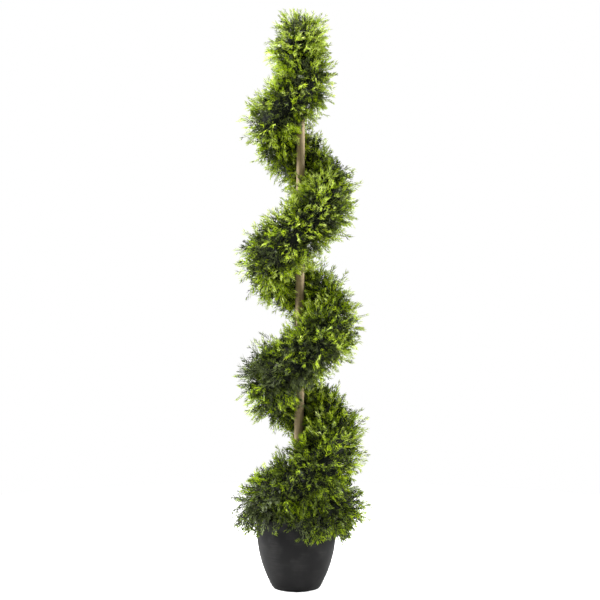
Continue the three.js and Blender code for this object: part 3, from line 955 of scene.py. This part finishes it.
def spray_kinds(root, heading, far, growth_and_painted_light, inner, rng):
    """Each spray's kind: dark inside by age and painted shade, by painted light darker low and pointing
    front or back, lighter far out.
    """
    shape = far.shape
    growth_and_painted_light = growth_and_painted_light[:, None]
    by_chance = YOUTH_OF_TWIG * rng.random((len(far), 1))
    youth_and_painted_light = YOUTH + growth_and_painted_light + by_chance + YOUTH_OF_SPRAY * rng.random(shape)
    # Painted side light: sprays that point to the sides are lighter than those pointing front or back.
    painted_side_factor = PAINTED_SIDE_LIGHT - PAINTED_SIDE_LIGHT_LOST * heading[..., 1] ** 2
    tip_vigour_and_light = np.clip(VIGOUR + VIGOUR_OF_GROWTH * growth_and_painted_light, *VIGOUR_LIMITS) * painted_side_factor
    # Outer tips lighten, partly as young shoots and partly as painted rim light.
    past = far + rng.uniform(-TIP_SPREAD, TIP_SPREAD, shape) - TIP_FROM
    youth_and_painted_light += TIP_YOUTH_AND_RIM_LIGHT * tip_vigour_and_light * np.maximum(past, TIP_LOWEST)
    kind = OLD + np.clip((4 * youth_and_painted_light).astype(int), 0, BRIGHT - OLD)
    # Inner sprays mostly take the shade tones, painted shade deep inside the garland.
    kind = np.where(inner, np.where(rng.random(shape) < OLD_INSIDE, OLD, INNER), kind)
    aged = (root[..., 0] < AGED_LEFT_OF) & (root[..., 2] < AGED_BELOW)
    lush = (root[..., 2] + LUSH_UNEVEN * growth_and_painted_light < LUSH_BELOW) & ~aged
    instead = np.where(np.arange(shape[1]) % LUSH_CYCLE < LUSH_PLAIN, PLAIN, INNER)
    return np.where((kind == OLD) & lush, instead, kind)


def grow_sprays(starts, settings, rng):
    """Sprays on each twig, again by the golden turn.

    Gives the root, heading, face, length, girth and kind of each.
    """
    at, out, reach = starts
    per_twig = settings.inner_sprays + settings.outer_sprays
    shape = (len(at), per_twig)
    inner = np.arange(per_twig) < settings.inner_sprays
    inner_up = INNER_SHARE * rng.random(shape)
    up = np.where(inner, inner_up, INNER_SHARE + (1 - INNER_SHARE) * rng.random(shape))
    side, other = square_to(out)
    angles = rng.random((len(at), 1)) * FIRST_TURN + np.arange(per_twig) * GOLDEN_TURN
    ring = side[:, None] * np.cos(angles)[..., None] + other[:, None] * np.sin(angles)[..., None]
    root = at[:, None] + out[:, None] * (reach[:, None] * (ROOTS_FROM + ROOTS_RUN * up))[..., None]
    root += ring * (ROOTS_ASIDE * reach[:, None] * rng.random(shape))[..., None]
    lean = LEAN - LEAN_LOST * up + rng.uniform(-LEAN_SPREAD, LEAN_SPREAD, shape) + LEAN_INSIDE * inner
    heading = unit(out[:, None] + ring * np.tan(np.clip(lean, 0, LEAN_MOST))[..., None])
    azimuth = np.degrees(np.arctan2(root[..., 1], root[..., 0]))
    swept = np.exp(-(((azimuth - SWEPT_AZIMUTH) / SWEPT_SPREAD) ** 2))
    hanging = ramp(HANG_BELOW - root[..., 2], 0, HANG_RUN) * (1 - swept)
    heading = unit(heading - HANG_WEIGHT * hanging[..., None] * np.array([0, 0, 1.0]))
    size = settings.spray_length * rng.uniform(*SIZE_FACTORS, shape)
    outer_room = OUTER_ROOM + FURTHEST_ROOM * rng.random(shape) ** FURTHEST_RARITY
    room = reach[:, None] * np.where(inner, INNER_ROOM, outer_room)
    offset = root - at[:, None]
    along = np.sum(offset * heading, axis=-1)
    free = np.sqrt(np.maximum(along**2 + room**2 - np.sum(offset**2, axis=-1), 0)) - along
    size = np.minimum(size, free)
    face = unit(np.cross(heading, rng.normal(size=heading.shape)))
    far = np.linalg.norm(offset + heading * size[..., None], axis=-1) / reach[:, None]
    growth_and_painted_light = twig_growth_and_painted_light(at, at + out * reach[:, None])
    kind = spray_kinds(root, heading, far, growth_and_painted_light, inner, rng)
    girth = GIRTH - GIRTH_LOST_OUTSIDE * ramp(far, SLENDER_FROM, SLENDER_RUN)
    girth *= 1 - GIRTH_LOST_AT_TOP * ramp(root[..., 2], TOP_FROM, TOP_RUN)
    flat = lambda value: value.reshape(len(at) * per_twig, *value.shape[2:])
    return [flat(value) for value in (root, heading, face, size, girth, kind)]


def hang_over_rim(first, last, out, down, rng):
    """Sprays that hang over the pot's rim, between two azimuths in degrees, as grow_sprays has them."""
    sprays = int((last - first) / TUFT_SPACING)
    column = (sprays, 1)
    azimuth = np.radians(first + (last - first) * (np.arange(sprays) + rng.random(sprays)) / sprays)
    away = np.stack([np.cos(azimuth), np.sin(azimuth), np.zeros(sprays)], axis=-1)
    around = np.stack([-np.sin(azimuth), np.cos(azimuth), np.zeros(sprays)], axis=-1)
    up = np.array([0, 0, 1.0])
    root = away * (POT_BELLY + TUFT_GAP + (out - TUFT_GAP) * rng.random(column))
    root += up * (POT_HEIGHT - down + rng.uniform(*TUFT_HEIGHTS, column) * MM)
    heading = away * rng.uniform(*TUFT_AWAY, column) - up * rng.uniform(*TUFT_DOWN, column)
    heading = unit(heading + around * rng.uniform(*TUFT_ASIDE, column))
    face = unit(np.cross(heading, rng.normal(size=heading.shape)))
    size = rng.uniform(*TUFT_LENGTHS, sprays) * MM
    kind = rng.choice(len(TUFT_KINDS), sprays, p=TUFT_KINDS)
    kind = np.clip(kind + np.round(crowd_growth_and_painted_light(root)).astype(int), INNER, BRIGHT)
    return root, heading, face, size, np.full(sprays, TUFT_GIRTH), kind


def is_free(points):
    """Whether points, in rows of a set each, all keep off trunk and pot, and below the top."""
    x, y, z = points[..., 0], points[..., 1], points[..., 2]
    x_mid, y_mid = trunk_centre(z)
    off_trunk = np.hypot(x - x_mid, y - y_mid) > trunk_radius(z) + CLEARANCE
    off_pot = (z > POT_HEIGHT + CLEARANCE) | (np.hypot(x, y) > POT_BELLY + CLEARANCE)
    return np.all((off_trunk | (z > TRUNK_TIP)) & off_pot & (z < GARLAND_TOP), axis=-1)


def keep_free(root, heading, face, size):
    """Shortens sprays that would touch trunk or pot, and says which can stay."""
    side = np.cross(heading, face)
    for _ in range(SHORTENINGS):
        spread = SPRAY_OUTLINE[None] * size[:, None, None]
        points = root[:, None] + side[:, None] * spread[..., :1] + heading[:, None] * spread[..., 1:]
        free = is_free(points)
        size = np.where(free, size, size * SHORTENED)
    return free & (size > SHORTEST), size


def place_shapes(shapes, rng, root, heading, face, size, girth, kind):
    """All sprays of a mass as one array of vertices, one of triangles and one of tones."""
    side = np.cross(heading, face)
    which = rng.integers(0, len(shapes), len(root))
    bend = rng.uniform(*BENDS, len(root))
    sweep = rng.uniform(*SWEEPS, len(root))
    vertices, triangles, tones = [], [], []
    filled = 0
    for number, (shape, faces, levels) in enumerate(shapes):
        chosen = np.flatnonzero(which == number)
        local = np.repeat(shape[None], len(chosen), axis=0)
        local[..., 0] *= girth[chosen, None]
        local[..., 2] -= bend[chosen, None] * local[..., 1] ** 2
        local[..., 0] += sweep[chosen, None] * local[..., 1] ** 2
        local *= size[chosen, None, None]
        made = (
            root[chosen, None]
            + side[chosen, None] * local[..., :1]
            + heading[chosen, None] * local[..., 1:2]
            + face[chosen, None] * local[..., 2:]
        )
        offsets = filled + len(shape) * np.arange(len(chosen))
        vertices.append(made.reshape(-1, 3))
        triangles.append((faces[None] + offsets[:, None, None]).reshape(-1, 3))
        tones.append(KIND_TONES[kind[chosen]][:, levels].reshape(-1))
        filled += len(shape) * len(chosen)
    return np.concatenate(vertices), np.concatenate(triangles), np.concatenate(tones)


def rods(starts, ends, first_radius, last_radius):
    """Three-sided tapering rods between two arrays of points, as vertices and triangles."""
    side, other = square_to(unit(ends - starts))
    corners = []
    for middle, radius in ((starts, first_radius), (ends, last_radius)):
        for turn in (0, 2 * math.pi / 3, 4 * math.pi / 3):
            corners.append(middle + radius * (side * math.cos(turn) + other * math.sin(turn)))
    vertices = np.stack(corners, axis=1)
    faces = np.array(
        [(0, 1, 4), (0, 4, 3), (1, 2, 5), (1, 5, 4), (2, 0, 3), (2, 3, 5), (0, 2, 1), (3, 4, 5)]
    )
    triangles = faces[None] + 6 * np.arange(len(starts))[:, None, None]
    return vertices.reshape(-1, 3), triangles.reshape(-1, 3)


def tube(points, radii):
    """A closed tube through points, with a radius at each, as a bmesh."""
    curve = bpy.data.curves.new("core_line", "CURVE")
    curve.dimensions = "3D"
    curve.bevel_depth = 1
    curve.bevel_resolution = 4
    curve.use_fill_caps = True
    line = curve.splines.new("POLY")
    line.points.add(len(points) - 1)
    for point, place, radius in zip(line.points, points, radii):
        point.co = (*place, 1)
        point.radius = radius
    holder = add_object("core_line", curve)
    bm = bmesh.new()
    bm.from_mesh(holder.to_mesh())
    bpy.data.objects.remove(holder)
    bpy.data.curves.remove(curve)
    return bm


def make_core(index, settings, material):
    """A near-black core of painted shade inside a mass: a lumpy tube on the centre line, clear of the
    pot.
    """
    first, last = mass_range(index)
    top = index == len(MASSES) - 1
    start = first - CORE_OVERLAP
    end = last + (CORE_ONWARD if top else CORE_OVERLAP)
    turns = np.linspace(start, end, CORE_RINGS)
    at, _, away, _, reach = garland_frames(turns)
    radius = reach * settings.core
    if index == 0:
        radius = radius * np.clip((turns - start) / CORE_LOW_TAPER, CORE_LEAST, 1) ** 0.5
    if top:
        radius = radius * np.clip((end - turns) / CORE_TOP_TAPER, CORE_LEAST, 1) ** 0.5
    at[:, 2] = np.maximum(at[:, 2], POT_HEIGHT + radius + CORE_GAP)
    bm = tube(at, radius)
    bmesh.ops.recalc_face_normals(bm, faces=bm.faces)
    for vertex in bm.verts:
        vertex.co += vertex.normal * CORE_LUMPS * noise.noise(vertex.co * CORE_LUMP_FINENESS)
    name = f"core_{index + 1:02d}"
    add_piece(name, mesh_from_bmesh(name, bm), [material])


def make_garland(settings):
    """Each mass: its sprays, the twigs that carry them, and its near-black core of painted shade."""
    tones = [
        plain_material(f"spray_{tone}", getattr(settings, tone), roughness=0.5)
        for tone in TONES
    ]
    # The cores get a near-black plain colour, which paints the shade inside each mass.
    painted_shade_core = plain_material("garland_core", settings.painted_shade_core, roughness=0.9)
    wire = plain_material("twig_wire", settings.wire, roughness=0.7)
    shapes_rng = np.random.default_rng(settings.seed)
    shapes = [spray_shape(shapes_rng) for _ in range(SPRAY_SHAPES)]
    for index, node in enumerate(MASSES):
        rng = np.random.default_rng(settings.seed + SEED_STEP * (index + 1))
        starts = [twig_starts(index, settings, rng)]
        if index == 0:
            starts.append(end_starts(SPIRAL_START, -1, LOW_END_TWIGS, rng))
        if index == len(MASSES) - 1:
            starts.append(end_starts(SPIRAL_END, 1, TOP_END_TWIGS, rng))
        starts = [np.concatenate(parts) for parts in zip(*starts)]
        grown = grow_sprays(starts, settings, rng)
        for mass, *tuft in RIM_TUFTS:
            if mass == index:
                hanging = hang_over_rim(*tuft, rng)
                grown = [np.concatenate(parts) for parts in zip(grown, hanging)]
        root, heading, face, size, girth, kind = grown
        free, size = keep_free(root, heading, face, size)
        grown = [value[free] for value in (root, heading, face, size, girth, kind)]
        name = f"sprays_{index + 1:02d}"
        add_piece(name, mesh_from_arrays(name, *place_shapes(shapes, rng, *grown)), tones, [node])
        at, out, reach = starts
        tips = at + out * (TWIG_RUN * reach)[:, None]
        clear = is_free(np.stack([at, (at + tips) / 2, tips], axis=1))
        name = f"twigs_{index + 1:02d}"
        add_piece(name, mesh_from_arrays(name, *rods(at[clear], tips[clear], *TWIG_RADIUS)), [wire])
        make_core(index, settings, painted_shade_core)


# ------------------------------------------------------------------ stage


# The lamps, which have their power in the settings: place, target and size.
LAMPS = {
    "crown": ((-0.5, -0.3, 3.0), (0, 0, 1.2), 1.0),
    "key": ((-3.1, 0.4, 1.9), (0, 0, 0.75), 1.2),
    "fill": ((3.1, 0.5, 1.7), (0, 0, 0.75), 1.4),
}
FLOOR_RADIUS = 30
SENSOR_WIDTH = 36


def area_light(name, watts, place, target, size):
    """A square lamp that faces its target."""
    light = bpy.data.lights.new(name, "AREA")
    light.energy = watts
    light.size = size
    lamp = add_object(name, light)
    lamp.location = place
    lamp.rotation_euler = (Vector(target) - Vector(place)).to_track_quat("-Z", "Y").to_euler()


def floor_material(settings):
    """Pale floor near the pot that fades into the even light of the room further out."""
    material, tree, shader = new_material("floor_pale", roughness=0.9, specular=0.1)
    shader.inputs["Base Color"].default_value = (*settings.floor, 1)
    place = add_node(tree, "ShaderNodeTexCoord")
    far = add_node(tree, "ShaderNodeVectorMath", {0: place.outputs["Object"]}, operation="LENGTH")
    fade = map_range(tree, far.outputs["Value"], from_min=0.5, from_max=2.0)
    glow = add_node(tree, "ShaderNodeEmission", {"Color": (1, 1, 1, 1), "Strength": 1.0})
    mix = add_node(tree, "ShaderNodeMixShader", {0: fade})
    tree.links.new(shader.outputs["BSDF"], mix.inputs[1])
    tree.links.new(glow.outputs["Emission"], mix.inputs[2])
    tree.links.new(mix.outputs["Shader"], tree.nodes["Material Output"].inputs["Surface"])
    return material


def make_room(settings):
    """White to the camera all round, with a soft light of its own."""
    world = bpy.data.worlds.new("room")
    world.use_nodes = True
    tree = world.node_tree
    background = tree.nodes["Background"]
    background.inputs["Color"].default_value = (1, 1, 1, 1)
    seen = add_node(tree, "ShaderNodeLightPath").outputs["Is Camera Ray"]
    strength = map_range(tree, seen, to_min=settings.dome, to_max=1.0)
    tree.links.new(strength, background.inputs["Strength"])
    bpy.context.scene.world = world


def make_stage(settings):
    """The room, the floor, the lamps and the level camera."""
    scene = bpy.context.scene
    scene.view_settings.view_transform = "Standard"
    make_room(settings)
    bm = bmesh.new()
    bmesh.ops.create_circle(bm, cap_ends=True, segments=96, radius=FLOOR_RADIUS)
    floor = add_object("floor", mesh_from_bmesh("floor", bm))
    floor.data.materials.append(floor_material(settings))
    for name, lamp in LAMPS.items():
        area_light(name, getattr(settings, name), *lamp)
    lens = bpy.data.cameras.new("camera")
    lens.sensor_width = SENSOR_WIDTH
    lens.lens = lens.sensor_width * settings.distance / settings.view_height
    lens.clip_end = 200
    camera = add_object("camera", lens)
    camera.location = (settings.camera_side, -settings.distance, settings.camera_height)
    camera.rotation_euler = (math.radians(90), 0, 0)
    scene.camera = camera


# ------------------------------------------------------------------ operators and panel


class TOPIARY_OT_pot(bpy.types.Operator):
    """Makes the charcoal pot and the filling inside it"""

    bl_idname = "topiary.pot"
    bl_label = "Make pot and filling"

    def execute(self, context):
        make_pot(context.scene.topiary_pot)
        make_filling(context.scene.topiary_pot)
        return {"FINISHED"}


class TOPIARY_OT_trunk(bpy.types.Operator):
    """Makes the trunk with the relief of its wood"""

    bl_idname = "topiary.trunk"
    bl_label = "Make trunk"

    def execute(self, context):
        make_trunk(context.scene.topiary_trunk)
        return {"FINISHED"}


class TOPIARY_OT_garland(bpy.types.Operator):
    """Grows the garland's cores of painted shade, twigs and sprays"""

    bl_idname = "topiary.garland"
    bl_label = "Grow garland"

    def execute(self, context):
        make_garland(context.scene.topiary_garland)
        return {"FINISHED"}


class TOPIARY_OT_stage(bpy.types.Operator):
    """Makes the floor, the lights and the camera"""

    bl_idname = "topiary.stage"
    bl_label = "Make stage"

    def execute(self, context):
        make_stage(context.scene.topiary_stage)
        return {"FINISHED"}


class TOPIARY_PT_panel(bpy.types.Panel):
    """Lists the topiary's settings and the steps that make it"""

    bl_idname = "TOPIARY_PT_panel"
    bl_label = "Spiral topiary"
    bl_space_type = "VIEW_3D"
    bl_region_type = "UI"
    bl_category = "Topiary"

    def draw(self, context):
        for step, group in STEPS:
            box = self.layout.box()
            settings = getattr(context.scene, group)
            for name in settings.__annotations__:
                box.prop(settings, name)
            box.operator(f"topiary.{step}")


STEPS = (
    ("pot", "topiary_pot"),
    ("trunk", "topiary_trunk"),
    ("garland", "topiary_garland"),
    ("stage", "topiary_stage"),
)
GROUPS = {
    "topiary_pot": TopiaryPotSettings,
    "topiary_trunk": TopiaryTrunkSettings,
    "topiary_garland": TopiaryGarlandSettings,
    "topiary_stage": TopiaryStageSettings,
}
CLASSES = (
    *GROUPS.values(),
    TOPIARY_OT_pot,
    TOPIARY_OT_trunk,
    TOPIARY_OT_garland,
    TOPIARY_OT_stage,
    TOPIARY_PT_panel,
)


def register():
    for made in CLASSES:
        bpy.utils.register_class(made)
    for name, group in GROUPS.items():
        setattr(bpy.types.Scene, name, PointerProperty(type=group))


def unregister():
    for name in GROUPS:
        delattr(bpy.types.Scene, name)
    for made in reversed(CLASSES):
        bpy.utils.unregister_class(made)


def main():
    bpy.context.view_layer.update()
    register()
    for step, _ in STEPS:
        getattr(bpy.ops.topiary, step)()


if __name__ == "__main__":
    main()
